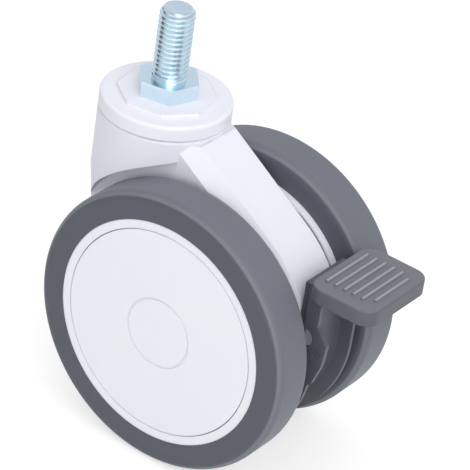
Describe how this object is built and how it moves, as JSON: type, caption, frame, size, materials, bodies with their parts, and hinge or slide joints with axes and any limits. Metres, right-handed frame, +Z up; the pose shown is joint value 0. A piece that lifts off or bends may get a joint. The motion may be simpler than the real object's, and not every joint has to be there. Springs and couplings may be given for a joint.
{
  "type": "swivel castor",
  "caption": "Swivel castor with paired wheels, a threaded stem, a white moulded fork and a grey foot pedal that brakes the wheels.",
  "frame": {"origin": "on the swivel axis, at the top face of the stem's hexagon, which is the seat", "axes": "+Z up the stem, +X from the swivel axis towards the pedal, Y along the wheel axle"},
  "size_m": [0.1231, 0.0674, 0.1471],
  "materials": {
    "zinc": "bright zinc plate",
    "white": "satin moulded plastic",
    "bright_steel": "ground steel",
    "spring_steel": "dark phosphate",
    "bush": "natural bearing plastic",
    "tyre": "matt grey soft plastic",
    "grey": "fine grained moulded plastic"
  },
  "bodies": {
    "stem": {"stem": "zinc", "cap": "white", "upper_race": "bright_steel"},
    "fork": {"fork": "white", "lower_race": "bright_steel", "swivel_balls": "bright_steel", "bush": "bush", "retaining_ring": "spring_steel", "axle": "bright_steel", "left_sleeve": "bright_steel", "right_sleeve": "bright_steel", "left_bearing_inner": "bright_steel", "right_bearing_inner": "bright_steel", "left_clip": "spring_steel", "right_clip": "spring_steel"},
    "left_wheel": {"left_tyre": "tyre", "left_hub": "white", "left_cover": "white", "left_bearing_outer": "bright_steel", "left_bearing_balls": "bright_steel"},
    "right_wheel": {"right_tyre": "tyre", "right_hub": "white", "right_cover": "white", "right_bearing_outer": "bright_steel", "right_bearing_balls": "bright_steel"},
    "pedal": {"pedal": "grey", "pedal_pin": "spring_steel"},
    "brake": {"brake_shoe": "grey"}
  },
  "joints": [
    {"name": "swivel", "type": "hinge", "parent": "stem", "child": "fork", "pos_m": [0, 0, -0.0187], "axis": [0, 0, 1], "continuous": true},
    {"name": "left_spin", "type": "hinge", "parent": "fork", "child": "left_wheel", "pos_m": [0.03165, -0.025, -0.0716], "axis": [0, 1, 0], "continuous": true},
    {"name": "right_spin", "type": "hinge", "parent": "fork", "child": "right_wheel", "pos_m": [0.03165, 0.025, -0.0716], "axis": [0, 1, 0], "continuous": true},
    {"name": "pedal_press", "type": "hinge", "parent": "fork", "child": "pedal", "pos_m": [0.03165, 0, -0.0716], "axis": [0, 1, 0], "range_deg": [0, 14]},
    {"name": "brake_slide", "type": "slide", "parent": "fork", "child": "brake", "axis": [0, 0, -1], "range_m": [0, 0.0024]}
  ],
  "couplings": [
    {"joint": "brake_slide", "follows": "pedal_press", "m_per_rad": 0.0098221}
  ]
}
